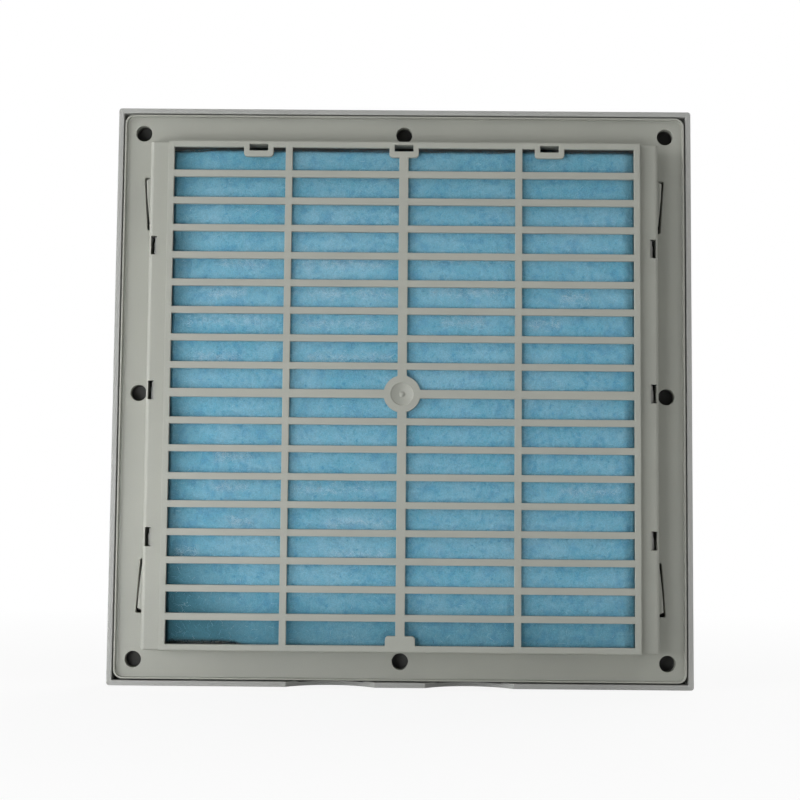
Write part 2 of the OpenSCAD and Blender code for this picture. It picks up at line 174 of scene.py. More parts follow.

# Ridge along the top edge, which fills the gap to the collar behind the clip tongues, with shade
# painted on it
RIDGE_RISE = 1.6 * MM
RIDGE_PLACE = -5.2 * MM
RIDGE_HALF_WIDTH = 1.1 * MM
RIDGE_SHADE_HEIGHT = 0.5 * MM
RIDGE_SHADE_SHIFT = 0.6

# Filter mat: how it lies, and the shade painted along its edges, at its top and in its lower left
# corner
MAT_SWELL = 0.34 * MM
MAT_LUMP = 0.13 * MM
LEFT_LIE = 1.3 * MM
LEFT_LIE_WIDTH = 19.0 * MM
RIGHT_LIE = 0.9 * MM
RIGHT_LIE_WIDTH = 5.0 * MM
BOTTOM_LIE = 2.6 * MM
BOTTOM_LIE_HEIGHT = 29.0 * MM
BOTTOM_LIE_AT = (-1.0, -0.3, 1.0)
BOTTOM_LIE_SHARES = (1.0, 0.60, 0.45)
LEFT_SHADE = 0.46
RIGHT_SHADE = 0.32
BOTTOM_SHADE = 0.85
TOP_SHADE = 0.30
TOP_SHADE_HEIGHT = 50.0 * MM
CORNER_SHADE = 0.65
CORNER_SHADE_FROM = (-62.0 * MM, -60.0 * MM)
CORNER_SHADE_SPAN = (30.0 * MM, 22.0 * MM)
SIDE_WANDER = 0.30
SIDE_WANDER_SIZE = 34 * MM

# Filter mat: its lumps and its cut edges
MAT_LUMP_SIZE = 6 * MM
MAT_SMALL_LUMP_SIZE = 2.4 * MM
HIGHEST_LUMP = 2.6
BOTTOM_LIFT = 1.9 * MM
BOTTOM_LIFT_FROM = -104.0 * MM
BOTTOM_LIFT_FROM_WIDTH = 6 * MM
BOTTOM_LIFT_TO = -62.0 * MM
BOTTOM_LIFT_TO_WIDTH = 14 * MM
BOTTOM_SHIFT_FROM = 0.9
BOTTOM_SHIFT_SLOPE = 10
TOP_SHIFT_FROM = 0.97
TOP_SHIFT_SLOPE = 33
EDGE_WANDER = 0.28 * MM
EDGE_WANDER_DROP = 1.5
EDGE_WANDER_SIZE = 16 * MM

# Cloth simulation of the mat's face between the bars
SHEET_PITCH = 1.5 * MM
SHEET_FRAMES = 20
SHEET_PRESSURE = 4.0
SHEET_MASS = 0.2
SHEET_QUALITY = 4
FULL_SWELL_RANK = 0.97

# Places where pale fibre lies on the face: X, Z and half length
PALE_STREAKS_MM = (
    (-70, 56, 11),
    (-26, 56, 21),
    (30, 59, 18),
    (-76, 43, 8),
    (-24, 43, 19),
    (29, 44, 17),
    (75, 42, 6),
    (-76, 31, 18),
    (-26, 30, 18),
    (26, 31, 9),
    (61, 30, 7),
    (-81, 15, 11),
    (-32, 15, 9),
    (-13, 15, 10),
    (-72, -28, 9),
    (-73, -41, 8),
    (-29, -42, 18),
    (81, -42, 13),
    (-70, -56, 6),
    (-19, -56, 14),
    (-92, -69, 5),
    (-18, -70, 13),
)
STREAK_HALF_HEIGHT = 2.1 * MM

# How far back fibre may reach, behind the bars and in the windows
BEHIND_BARS = -11.95 * MM
IN_WINDOWS = -12.7 * MM
FACE_GAP = 0.02 * MM
BAR_MARGIN = 0.5 * MM

# Loose strands, those on the face first
STRAND_STEPS = 5
STRAND_SIDES = 3
SIDE_MARGIN = 0.3 * MM
BOTTOM_MARGIN = 2.5 * MM
TOP_MARGIN = 0.8 * MM
FUZZ_BELOW_TOP_MM = (0.4, 1.3)
FUZZ_ABOVE_BOTTOM_MM = (0.5, 1.6)
FUZZ_DEPTH_MM = (0.0, 1.5)

# Plain values of the materials
PLASTIC_IOR = 1.49
FELT_SURFACE = {"Roughness": 0.95, "Sheen Weight": 0.15, "Sheen Roughness": 0.6}
FELT_RELIEF = {"Strength": 0.7, "Distance": 0.0004}
STRAND_SURFACE = {"Roughness": 0.6}
STRAND_RELIEF = {"Strength": 0.3, "Distance": 0.00005}

# Noise scales of the patches in which edge highlights are painted and dust lies
HIGHLIGHT_PATCHES = 220.0
DUST_PATCHES = 260.0

# Where the mat turns white toward the louvres
WHITE_FROM = -5.0 * MM
WHITE_TO = 1.0 * MM

# A colour mix node's inputs for the share and the two colours, and its result
MIX_INPUTS = (0, 6, 7)
MIX_RESULT = 2


def new_object(name, data):
    """An object in the scene."""
    made = bpy.data.objects.new(name, data)
    bpy.context.scene.collection.objects.link(made)
    return made


def make_camera():
    """Camera at the photograph's viewing angle."""
    data = bpy.data.cameras.new("photo_camera")
    data.lens = CAMERA_LENS_MM
    data.sensor_width = CAMERA_SENSOR_MM
    data.clip_start = CAMERA_NEAR
    data.clip_end = CAMERA_FAR
    camera = new_object("photo_camera", data)
    camera.location = Vector(CAMERA_PLACE_MM) * MM
    camera.rotation_euler = Euler([math.radians(a) for a in CAMERA_TURN_DEG])
    bpy.context.scene.camera = camera


def add_node(tree, kind, place, settings=None, values=None):
    """Puts a node in a tree, with its settings and the values of its free inputs."""
    made = tree.nodes.new(kind)
    made.location = place
    for name, value in (settings or {}).items():
        setattr(made, name, value)
    for name, value in (values or {}).items():
        made.inputs[name].default_value = value
    return made


def wire(tree, source, output, target, into):
    """Joins a node's output to another node's input, each by its name or number."""
    tree.links.new(source.outputs[output], target.inputs[into])


def new_group(name, inputs, outputs):
    """A node group with named inputs (label, kind, value) and outputs (label, kind)."""
    tree = bpy.data.node_groups.new(name, "ShaderNodeTree")
    for label, kind, value in inputs:
        socket = tree.interface.new_socket(label, in_out="INPUT", socket_type=kind)
        socket.default_value = value
    for label, kind in outputs:
        tree.interface.new_socket(label, in_out="OUTPUT", socket_type=kind)
    entry = add_node(tree, "NodeGroupInput", (-900, 0))
    leave = add_node(tree, "NodeGroupOutput", (900, 0))
    return tree, entry, leave


def place_group(tree, group, place, values):
    """Puts a node group in a material, with its own values."""
    return add_node(tree, "ShaderNodeGroup", place, {"node_tree": group}, values)


def sum_node(tree, operation, place, first=None, second=None):
    """A maths node. Each of first and second is a number or a pair of node and output."""
    made = add_node(tree, "ShaderNodeMath", place, {"operation": operation})
    for number, value in enumerate((first, second)):
        if isinstance(value, tuple):
            wire(tree, value[0], value[1], made, number)
        elif value is not None:
            made.inputs[number].default_value = value
    return made


def range_node(tree, place, source, output, start, end, low=0.0, high=1.0):
    """Maps a value from the span start to end on the span low to high."""
    spans = {"From Min": start, "From Max": end, "To Min": low, "To Max": high}
    made = add_node(tree, "ShaderNodeMapRange", place, values=spans)
    wire(tree, source, output, made, "Value")
    return made


def noise_of_size(tree, coordinates, size_node, size_output, place, detail, roughness=0.5):
    """Noise whose lumps have the size that another node gives, in metres."""
    scale = sum_node(tree, "DIVIDE", (place[0] - 180, place[1]), 1.0, (size_node, size_output))
    values = {"Detail": detail, "Roughness": roughness}
    made = add_node(tree, "ShaderNodeTexNoise", place, values=values)
    wire(tree, coordinates, "Object", made, "Vector")
    wire(tree, scale, 0, made, "Scale")
    return made


def patch_mask(tree, place, scale, detail, start, end):
    """Patches of noise across the piece, from 0 to 1."""
    places = add_node(tree, "ShaderNodeTexCoord", (place[0] - 400, place[1]))
    values = {"Scale": scale, "Detail": detail}
    noise = add_node(tree, "ShaderNodeTexNoise", (place[0] - 200, place[1]), values=values)
    wire(tree, places, "Object", noise, "Vector")
    return range_node(tree, place, noise, 0, start, end)


def within(tree, place, value, low, high, fade_in, fade_out):
    """1 where a value lies between low and high. It fades in above low and out above high."""
    rise = range_node(tree, place, *value, low, low + fade_in)
    fall = range_node(tree, (place[0], place[1] - 200), *value, high + fade_out, high)
    return sum_node(tree, "MULTIPLY", (place[0] + 200, place[1]), (rise, 0), (fall, 0))


def lay_over(tree, place, share, under, over):
    """Mixes two colours. Each of share, under and over is a pair of node and output."""
    made = add_node(tree, "ShaderNodeMix", place, {"data_type": "RGBA"})
    for number, (source, output) in zip(MIX_INPUTS, (share, under, over)):
        wire(tree, source, output, made, number)
    return made, MIX_RESULT


def add_relief(tree, source, shader, values):
    """Bumps a shader's surface by a node's height."""
    relief = add_node(tree, "ShaderNodeBump", (200, -200), values=values)
    wire(tree, source, "Height", relief, "Height")
    wire(tree, relief, "Normal", shader, "Normal")


def moulded_grain_group():
    """Tone, gloss and fine relief of a moulded plastic skin."""
    tree, entry, leave = new_group(
        "moulded_grain",
        [
            ("Base Colour", "NodeSocketColor", (0.5, 0.5, 0.5, 1)),
            ("Cloud Colour", "NodeSocketColor", (0.5, 0.5, 0.5, 1)),
            ("Cloud Size", "NodeSocketFloat", 0.03),
            ("Grain Size", "NodeSocketFloat", 0.0004),
            ("Low Gloss", "NodeSocketFloat", 0.6),
            ("High Gloss", "NodeSocketFloat", 0.5),
        ],
        [
            ("Colour", "NodeSocketColor"),
            ("Roughness", "NodeSocketFloat"),
            ("Height", "NodeSocketFloat"),
        ],
    )
    places = add_node(tree, "ShaderNodeTexCoord", (-900, -300))
    cloud = noise_of_size(tree, places, entry, "Cloud Size", (-500, 200), 3.0)
    grain = noise_of_size(tree, places, entry, "Grain Size", (-500, -200), 2.0, 0.6)
    spread = range_node(tree, (-280, 200), cloud, 0, 0.35, 0.65)
    base = (entry, "Base Colour")
    tone = lay_over(tree, (0, 200), (spread, 0), base, (entry, "Cloud Colour"))
    speckle = range_node(tree, (-280, -60), grain, 0, 0.3, 0.7, 0.96, 1.04)
    speckled = add_node(tree, "ShaderNodeVectorMath", (240, 200), {"operation": "SCALE"})
    wire(tree, *tone, speckled, 0)
    wire(tree, speckle, 0, speckled, "Scale")
    gloss = range_node(tree, (240, -60), grain, 0, 0.3, 0.7)
    wire(tree, entry, "Low Gloss", gloss, "To Min")
    wire(tree, entry, "High Gloss", gloss, "To Max")
    wire(tree, speckled, 0, leave, "Colour")
    wire(tree, gloss, 0, leave, "Roughness")
    wire(tree, grain, 0, leave, "Height")
    return tree


def edge_highlight_group():
    """Painted highlight: paler plastic along the moulded edges, in patches."""
    tree, entry, leave = new_group(
        "painted_edge_highlight",
        [
            ("Colour", "NodeSocketColor", (0.5, 0.5, 0.5, 1)),
            ("Highlight Colour", "NodeSocketColor", (0.7, 0.7, 0.7, 1)),
            ("Edge Width", "NodeSocketFloat", 0.0005),
            ("Strength", "NodeSocketFloat", 0.4),
        ],
        [("Colour", "NodeSocketColor")],
    )
    eased = add_node(tree, "ShaderNodeBevel", (-620, 100), {"samples": 4})
    wire(tree, entry, "Edge Width", eased, "Radius")
    skin = add_node(tree, "ShaderNodeNewGeometry", (-620, -120))
    likeness = add_node(tree, "ShaderNodeVectorMath", (-400, 0), {"operation": "DOT_PRODUCT"})
    wire(tree, eased, 0, likeness, 0)
    wire(tree, skin, "Normal", likeness, 1)
    edge = range_node(tree, (-200, 0), likeness, "Value", 0.995, 0.80)
    highlight_spots = patch_mask(tree, (-200, -300), HIGHLIGHT_PATCHES, 3.0, 0.3, 0.6)
    broken = sum_node(tree, "MULTIPLY", (60, -60), (edge, 0), (highlight_spots, 0))
    mask = sum_node(tree, "MULTIPLY", (260, -60), (broken, 0), (entry, "Strength"))
    plain = (entry, "Colour")
    tone = lay_over(tree, (520, 100), (mask, 0), plain, (entry, "Highlight Colour"))
    wire(tree, *tone, leave, "Colour")
    return tree


def settled_dust_group():
    """Thin dust on faces that look up."""
    tree, entry, leave = new_group(
        "settled_dust",
        [
            ("Colour", "NodeSocketColor", (0.5, 0.5, 0.5, 1)),
            ("Dust Colour", "NodeSocketColor", (0.6, 0.58, 0.54, 1)),
            ("Amount", "NodeSocketFloat", 0.3),
        ],
        [("Colour", "NodeSocketColor")],
    )
    skin = add_node(tree, "ShaderNodeNewGeometry", (-640, -100))
    parted = add_node(tree, "ShaderNodeSeparateXYZ", (-460, -100))
    wire(tree, skin, "Normal", parted, 0)
    upward = range_node(tree, (-280, -100), parted, "Z", 0.4, 1.0)
    patchy = patch_mask(tree, (-280, -340), DUST_PATCHES, 5.0, 0.35, 0.7)
    both = sum_node(tree, "MULTIPLY", (-60, -160), (upward, 0), (patchy, 0))
    mask = sum_node(tree, "MULTIPLY", (140, -160), (both, 0), (entry, "Amount"))
    plain = (entry, "Colour")
    tone = lay_over(tree, (420, 100), (mask, 0), plain, (entry, "Dust Colour"))
    wire(tree, *tone, leave, "Colour")
    return tree


def painted_hollow_shade_group():
    """Painted shade: near-black colour in the hollow between flange and cover and round the mat's
    seat.
    """
    tree, entry, leave = new_group(
        "painted_hollow_shade",
        [
            ("Colour", "NodeSocketColor", (0.5, 0.5, 0.5, 1)),
            ("Shade Colour", "NodeSocketColor", (0.03, 0.03, 0.027, 1)),
            ("Amount", "NodeSocketFloat", 0.8),
        ],
        [("Colour", "NodeSocketColor")],
    )
    places = add_node(tree, "ShaderNodeTexCoord", (-900, -300))
    parted = add_node(tree, "ShaderNodeSeparateXYZ", (-720, -300))
    wire(tree, places, "Object", parted, 0)
    across = sum_node(tree, "ABSOLUTE", (-520, -540), (parted, "X"))
    centred = sum_node(tree, "SUBTRACT", (-700, -700), (parted, "Z"), COLLAR_MIDDLE)
    upright = sum_node(tree, "ABSOLUTE", (-520, -700), (centred, 0))
    reach = sum_node(tree, "MAXIMUM", (-340, -600), (across, 0), (upright, 0))
    depth = (parted, "Y")
    aside = (reach, 0)
    hollow = sum_node(
        tree,
        "MULTIPLY",
        (200, -400),
        (within(tree, (-160, -200), depth, HOLLOW_REAR, HOLLOW_FRONT, HOLLOW_FADE, SHADE_FADE), 0),
        (within(tree, (-160, -600), aside, HOLLOW_INSIDE, HOLLOW_OUTSIDE, SHADE_FADE, SHADE_FADE), 0),
    )
    seat = sum_node(
        tree,
        "MULTIPLY",
        (200, -1200),
        (within(tree, (-160, -1000), depth, SEAT_REAR, SEAT_FRONT, SHADE_FADE, SEAT_FADE), 0),
        (within(tree, (-160, -1400), aside, SEAT_INSIDE, SEAT_OUTSIDE, SHADE_FADE, SHADE_FADE), 0),
    )
    place = sum_node(tree, "MAXIMUM", (300, -600), (hollow, 0), (seat, 0))
    mask = sum_node(tree, "MULTIPLY", (380, -300), (place, 0), (entry, "Amount"))
    plain = (entry, "Colour")
    tone = lay_over(tree, (600, 100), (mask, 0), plain, (entry, "Shade Colour"))
    wire(tree, *tone, leave, "Colour")
    return tree


def new_material(name, surface):
    """A material with its Principled shader, and that shader, with its plain values."""
    material = bpy.data.materials.new(name)
    material.use_nodes = True
    tree = material.node_tree
    tree.nodes.clear()
    shader = add_node(tree, "ShaderNodeBsdfPrincipled", (600, 0), values=surface)
    result = add_node(tree, "ShaderNodeOutputMaterial", (900, 0))
    wire(tree, shader, "BSDF", result, "Surface")
    return material, shader


def moulded_plastic(name, groups, look):
    """Moulded plastic with grain, painted highlights along its edges, a little dust, and painted
    shade in its hollow.
    """
    material, shader = new_material(name, {"IOR": PLASTIC_IOR})
    tree = material.node_tree
    grain = place_group(tree, groups["grain"], (-900, 100), look["grain"])
    last = grain
    # On the grain go painted highlights along the edges, dust, and painted shade in the hollow and
    # round the mat's seat
    for step, layer in enumerate(("edges", "dust", "hollow_shade")):
        laid = place_group(tree, groups[layer], (300 * step - 600, 100), look[layer])
        wire(tree, last, "Colour", laid, "Colour")
        last = laid
    wire(tree, last, "Colour", shader, "Base Color")
    wire(tree, grain, "Roughness", shader, "Roughness")
    add_relief(tree, grain, shader, look["relief"])
    return material


def finish_mouldings(groups):
    """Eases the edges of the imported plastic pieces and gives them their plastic."""
    frame_plastic = moulded_plastic("frame_plastic", groups, FRAME_LOOK)
    arm_plastic = moulded_plastic("arm_plastic", groups, ARM_LOOK)
    cover_plastic = moulded_plastic("cover_plastic", groups, COVER_LOOK)
    for names, material, ease in (
        (FRAME_NODES, frame_plastic, FRAME_EASE),
        (CHANNEL_NODES, frame_plastic, CHANNEL_EASE),
        (ARM_NODES, arm_plastic, ARM_EASE),
        (COVER_NODES, cover_plastic, COVER_EASE),
    ):
        for name in names:
            ease_edges(nodes[name], ease, clamp=name in ARM_NODES)
            nodes[name].data.materials.clear()
            nodes[name].data.materials.append(material)


def ease_edges(piece, width, clamp):
    """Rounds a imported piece's sharp edges a little, as a mould does."""
    weld = piece.modifiers.new("weld", "WELD")
    weld.merge_threshold = SAME_POINT
    flats = piece.modifiers.new("flats", "DECIMATE")
    flats.decimate_type = "DISSOLVE"
    flats.angle_limit = FLAT_ANGLE
    ease = piece.modifiers.new("ease", "BEVEL")
    ease.width = width
    ease.segments = EASE_STEPS
    ease.limit_method = "ANGLE"
    ease.angle_limit = EASE_ANGLE
    ease.use_clamp_overlap = clamp
    shade = piece.modifiers.new("shade", "WEIGHTED_NORMAL")
    shade.weight = WIDE_FACES_FIRST
    shade.keep_sharp = False


FRAME_LOOK = {
    "grain": {
        "Base Colour": (0.400, 0.408, 0.366, 1),
        "Cloud Colour": (0.380, 0.388, 0.350, 1),
        "Cloud Size": 0.035,
        "Grain Size": 0.00035,
        "Low Gloss": 0.40,
        "High Gloss": 0.55,
    },
    # painted highlight along the moulded edges
    "edges": {
        "Highlight Colour": (0.58, 0.585, 0.55, 1),
        "Edge Width": 0.0004,
        "Strength": 0.18,
    },
    "dust": {"Amount": 0.12},
    # painted shade in the hollow and round the mat's seat
    "hollow_shade": {"Amount": 0.92},
    "relief": {"Strength": 0.35, "Distance": 0.00003},
}
ARM_LOOK = {
    **FRAME_LOOK,
    "grain": {
        **FRAME_LOOK["grain"],
        "Base Colour": (0.385, 0.393, 0.352, 1),
        "Cloud Colour": (0.365, 0.373, 0.336, 1),
    },
}
COVER_LOOK = {
    **FRAME_LOOK,
    "grain": {
        **FRAME_LOOK["grain"],
        "Base Colour": (0.425, 0.430, 0.418, 1),
        "Cloud Colour": (0.412, 0.417, 0.404, 1),
        "Low Gloss": 0.48,
        "High Gloss": 0.60,
    },
    "edges": {**FRAME_LOOK["edges"], "Strength": 0.03},
    "relief": {"Strength": 0.15, "Distance": 0.00002},
}


def soft_step(t):
    """Smooth rise from 0 to 1 as t goes from 0 to 1."""
    t = np.clip(t, 0, 1)
    return t * t * (3 - 2 * t)


def felt_field(x, z, size, stretch, seed, waves=36):
    """Smooth random heights of about -1 to 1, with lumps of the given size, longer along X."""
    rng = np.random.default_rng(seed)
    turn = rng.uniform(0, 2 * math.pi, waves)
    length = size * rng.uniform(0.7, 1.6, waves)
    phase = rng.uniform(0, 2 * math.pi, waves)
    total = np.zeros(np.broadcast(x, z).shape)
    for a, l, p in zip(turn, length, phase):
        total += np.cos(2 * math.pi * (x * math.cos(a) / stretch + z * math.sin(a)) / l + p)
    return total / math.sqrt(waves)


def grid_squares(index):
    """Squares between the points of a grid, whose numbers are given."""
    corners = (index[:-1, :-1], index[:-1, 1:], index[1:, 1:], index[1:, :-1])
    return np.stack(corners, -1).reshape(-1, 4)


def grid_rim(index):
    """Numbers of a grid's border points, once round."""
    return np.concatenate([index[0, :-1], index[:-1, -1], index[-1, :0:-1], index[:0:-1, 0]])


class GrilleLayout:
    """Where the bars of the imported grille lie, worked out from its box."""

    def __init__(self):
        low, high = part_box("rear_grille")
        self.mid_z = (low.z + high.z) / 2
        self.window_top = high.z - RAIL_HEIGHT
        self.window_bottom = low.z + RAIL_HEIGHT

    def behind_bars(self, x, z, margin=0.0):
        """True behind a bar, the hub, a tab or the frame, or within the margin of one."""
        row = np.abs((z - self.mid_z) / CROSSBAR_PITCH)
        to_crossbar = np.abs(row - np.round(row)) * CROSSBAR_PITCH
        pitch = 2 * WINDOW_REACH / COLUMNS
        to_upright = np.abs(x / pitch - np.round(x / pitch)) * pitch
        hidden = (to_crossbar < HALF_CROSSBAR + margin) | (to_upright < HALF_UPRIGHT + margin)
        hidden |= np.hypot(x, z - self.mid_z) < HUB_RADIUS + margin
        hidden |= np.abs(x) > WINDOW_REACH - margin
        hidden |= (z > self.window_top - margin) | (z < self.window_bottom + margin)
        for place in TAB_PLACES:
            beside = np.abs(x - place) < HALF_TAB + margin
            hidden |= beside & (z > self.window_top - TAB_DROP - margin)
        hidden |= (np.abs(x) < HALF_TAB + margin) & (z < self.window_bottom + TAB_DROP + margin)
        return hidden


class PressedFace:
    """Swelling of the mat's face between the bars, from 0 behind a bar to 1."""

    def __init__(self, layout, low_z, high_z):
        self.x = np.arange(-WINDOW_REACH, WINDOW_REACH + SHEET_PITCH, SHEET_PITCH)
        self.z = np.arange(low_z, high_z + SHEET_PITCH, SHEET_PITCH)
        u, v = np.meshgrid(self.x, self.z)
        held = layout.behind_bars(u, v)
        rise = self.simulated(u, v, held)
        rise = np.where(held, 0, np.maximum(rise, 0))
        self.rise = np.clip(rise / np.quantile(rise[~held], FULL_SWELL_RANK), 0, 1)

    def simulated(self, u, v, held):
        """Cloth pinned behind the bars, which a light pressure pushes out between them."""
        rows, columns = u.shape
        points = np.stack([u, np.zeros_like(u), v], -1).reshape(-1, 3)
        index = np.arange(rows * columns).reshape(rows, columns)
        mesh = bpy.data.meshes.new("pressed_sheet")
        mesh.from_pydata(points.tolist(), [], grid_squares(index).tolist())
        sheet = new_object("pressed_sheet", mesh)
        pins = sheet.vertex_groups.new(name="held_by_bars")
        border = np.zeros_like(held)
        border[0] = border[-1] = True
        border[:, 0] = border[:, -1] = True
        pins.add(index[held | border].ravel().tolist(), 1.0, "REPLACE")
        cloth = sheet.modifiers.new("cloth", "CLOTH")
        cloth.settings.mass = SHEET_MASS
        cloth.settings.quality = SHEET_QUALITY
        cloth.settings.vertex_group_mass = pins.name
        cloth.settings.use_pressure = True
        cloth.settings.uniform_pressure_force = SHEET_PRESSURE
        cloth.settings.effector_weights.gravity = 0.0
        cloth.point_cache.frame_start = 1
        cloth.point_cache.frame_end = SHEET_FRAMES
        scene = bpy.context.scene
        for number in range(1, SHEET_FRAMES + 1):
            scene.frame_set(number)
        settled = sheet.evaluated_get(bpy.context.evaluated_depsgraph_get())
        places = np.empty(rows * columns * 3)
        settled.data.vertices.foreach_get("co", places)
        scene.frame_set(1)
        bpy.data.objects.remove(sheet)
        return np.abs(places.reshape(rows, columns, 3)[:, :, 1])

    def at(self, x, z):
        """The swelling at a point, read between the sheet's points."""
        i = np.clip((x - self.x[0]) / SHEET_PITCH, 0, len(self.x) - 1.001)
        j = np.clip((z - self.z[0]) / SHEET_PITCH, 0, len(self.z) - 1.001)
        left = i.astype(int)
        low = j.astype(int)
        a = i - left
        b = j - low
        under = self.rise[low, left] * (1 - a) + self.rise[low, left + 1] * a
        over = self.rise[low + 1, left] * (1 - a) + self.rise[low + 1, left + 1] * a
        return under * (1 - b) + over * b


class MatShape:
    """Heights of the mat's two faces and the line of its cut edges."""

    def __init__(self, layout):
        low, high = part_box("filter_mat")
        self.layout = layout
        self.half_x = (high.x - low.x) / 2
        self.low_z = low.z
        self.high_z = high.z
        self.mid_z = (low.z + high.z) / 2
        self.half_z = (high.z - low.z) / 2
        self.rear = low.y
        self.front = high.y
        self.pressed = PressedFace(layout, low.z, high.z)

    def inset(self, x, z):
        """Distance from a point to the nearest cut edge."""
        top = self.high_z - z
        bottom = z - self.low_z - self.bottom_lift(x)
        return np.minimum(self.half_x - np.abs(x), np.minimum(top, bottom))

    def bottom_lift(self, x):
        """How far the bottom edge has crept up, at its left end."""
        from_left = soft_step((x - BOTTOM_LIFT_FROM) / BOTTOM_LIFT_FROM_WIDTH)
        to_right = soft_step((BOTTOM_LIFT_TO - x) / BOTTOM_LIFT_TO_WIDTH)
        return BOTTOM_LIFT * from_left * to_right

    def edge_shares(self, x, z):
        """Shares of the left, right and bottom edge at a point, from 0 to 1."""
        wander = felt_field(x * 0, z, SIDE_WANDER_SIZE, 1.0, MAT_SEED + 5, waves=9)
        wander = 1 + SIDE_WANDER * wander
        left = soft_step((-WINDOW_REACH + LEFT_LIE_WIDTH - x) / LEFT_LIE_WIDTH)
        right = soft_step((x - WINDOW_REACH + RIGHT_LIE_WIDTH) / RIGHT_LIE_WIDTH)
        bottom = soft_step((self.low_z + BOTTOM_LIE_HEIGHT - z) / BOTTOM_LIE_HEIGHT)
        share = np.interp(x, np.array(BOTTOM_LIE_AT) * WINDOW_REACH, BOTTOM_LIE_SHARES)
        return left * wander, right * wander, bottom * share

    def lie(self, x, z):
        """How far the mat lies back from the grille along its left, right and bottom edges."""
        left, right, bottom = self.edge_shares(x, z)
        return LEFT_LIE * left + RIGHT_LIE * right + BOTTOM_LIE * bottom

    def shade(self, x, z):
        """Share of painted shade along the edges, at the top and in the lower left corner."""
        left, right, bottom = self.edge_shares(x, z)
        top = soft_step((z - self.layout.window_top) / TOP_SHADE_HEIGHT + 1)
        corner = soft_step((CORNER_SHADE_FROM[0] - x) / CORNER_SHADE_SPAN[0])
        corner = corner * soft_step((CORNER_SHADE_FROM[1] - z) / CORNER_SHADE_SPAN[1])
        sides = LEFT_SHADE * left + RIGHT_SHADE * right + BOTTOM_SHADE * bottom
        return np.clip(sides + TOP_SHADE * top + CORNER_SHADE * corner, 0, 1)

    def rear_face(self, x, z):
        """Y of the face behind the grille."""
        y = self.rear - MAT_SWELL * self.pressed.at(x, z)
        y = y + MAT_LUMP * felt_field(x, z, MAT_LUMP_SIZE, 1.6, MAT_SEED)
        y = y + 0.5 * MAT_LUMP * felt_field(x, z, MAT_SMALL_LUMP_SIZE, 1.3, MAT_SEED + 1)
        y = np.maximum(y + self.lie(x, z), BEHIND_BARS + FACE_GAP)
        side = self.half_x - MAT_SIDE_STEP
        y = y + MAT_STEP_DEPTH * (np.abs(x) > side - STEP_MARGIN)
        return y + self.round_over(x, z)

    def front_face(self, x, z):
        """Y of the face behind the louvres."""
        lumps = felt_field(x, z, MAT_LUMP_SIZE, 1.5, MAT_SEED + 2) - HIGHEST_LUMP
        return self.front + MAT_LUMP * lumps - self.round_over(x, z)

    def round_over(self, x, z):
        """Depth lost at the cut edges."""
        t = np.clip(MAT_EDGE_ROUND - self.inset(x, z), 0, MAT_EDGE_ROUND)
        return MAT_EDGE_ROUND - np.sqrt(np.maximum(MAT_EDGE_ROUND**2 - t**2, 0))

    def pale(self, x, z):
        """Share of pale fibre on the face."""
        total = np.zeros(np.broadcast(x, z).shape)
        for place_x, place_z, half in PALE_STREAKS_MM:
            u = (x - place_x * MM) / (half * MM)
            v = (z - place_z * MM) / STREAK_HALF_HEIGHT
            total += np.exp(-(u**4) - v**2)
        return np.clip(total, 0, 1)

    def clear_of_bars(self, x, y, z):
        """Keeps points off the bars in front of the mat."""
        behind = self.layout.behind_bars(x, z, BAR_MARGIN)
        return np.maximum(y, np.where(behind, BEHIND_BARS, IN_WINDOWS))


def mat_grid(shape):
    """Places across the mat, with round corners and a slightly wandering cut edge."""
    side = shape.half_x - np.array(MAT_SIDE_COLUMNS) * MM
    inner = side[-1] - 0.3 * MM
    x_line = np.concatenate([-side, np.linspace(-inner, inner, MAT_COLUMNS), side[::-1]])
    z_line = np.linspace(-shape.half_z, shape.half_z, MAT_ROWS)
    x, z = np.meshgrid(x_line, z_line)
    over_x = np.maximum(np.abs(x) - (shape.half_x - MAT_CORNER), 0)
    over_z = np.maximum(np.abs(z) - (shape.half_z - MAT_CORNER), 0)
    reach = np.hypot(over_x, over_z)
    keep = np.where(reach > 0, np.maximum(over_x, over_z) / np.maximum(reach, 1e-9), 1)
    x = np.sign(x) * (np.abs(x) - over_x * (1 - keep))
    z = np.sign(z) * (np.abs(z) - over_z * (1 - keep))
    down = soft_step((-z / shape.half_z - BOTTOM_SHIFT_FROM) * BOTTOM_SHIFT_SLOPE)
    up = soft_step((z / shape.half_z - TOP_SHIFT_FROM) * TOP_SHIFT_SLOPE)
    wander = felt_field(x, x * 0, EDGE_WANDER_SIZE, 1.0, MAT_SEED + 3, waves=12)
    wander = EDGE_WANDER * (wander - EDGE_WANDER_DROP)
    return x, z + shape.mid_z + down * shape.bottom_lift(x) + up * wander


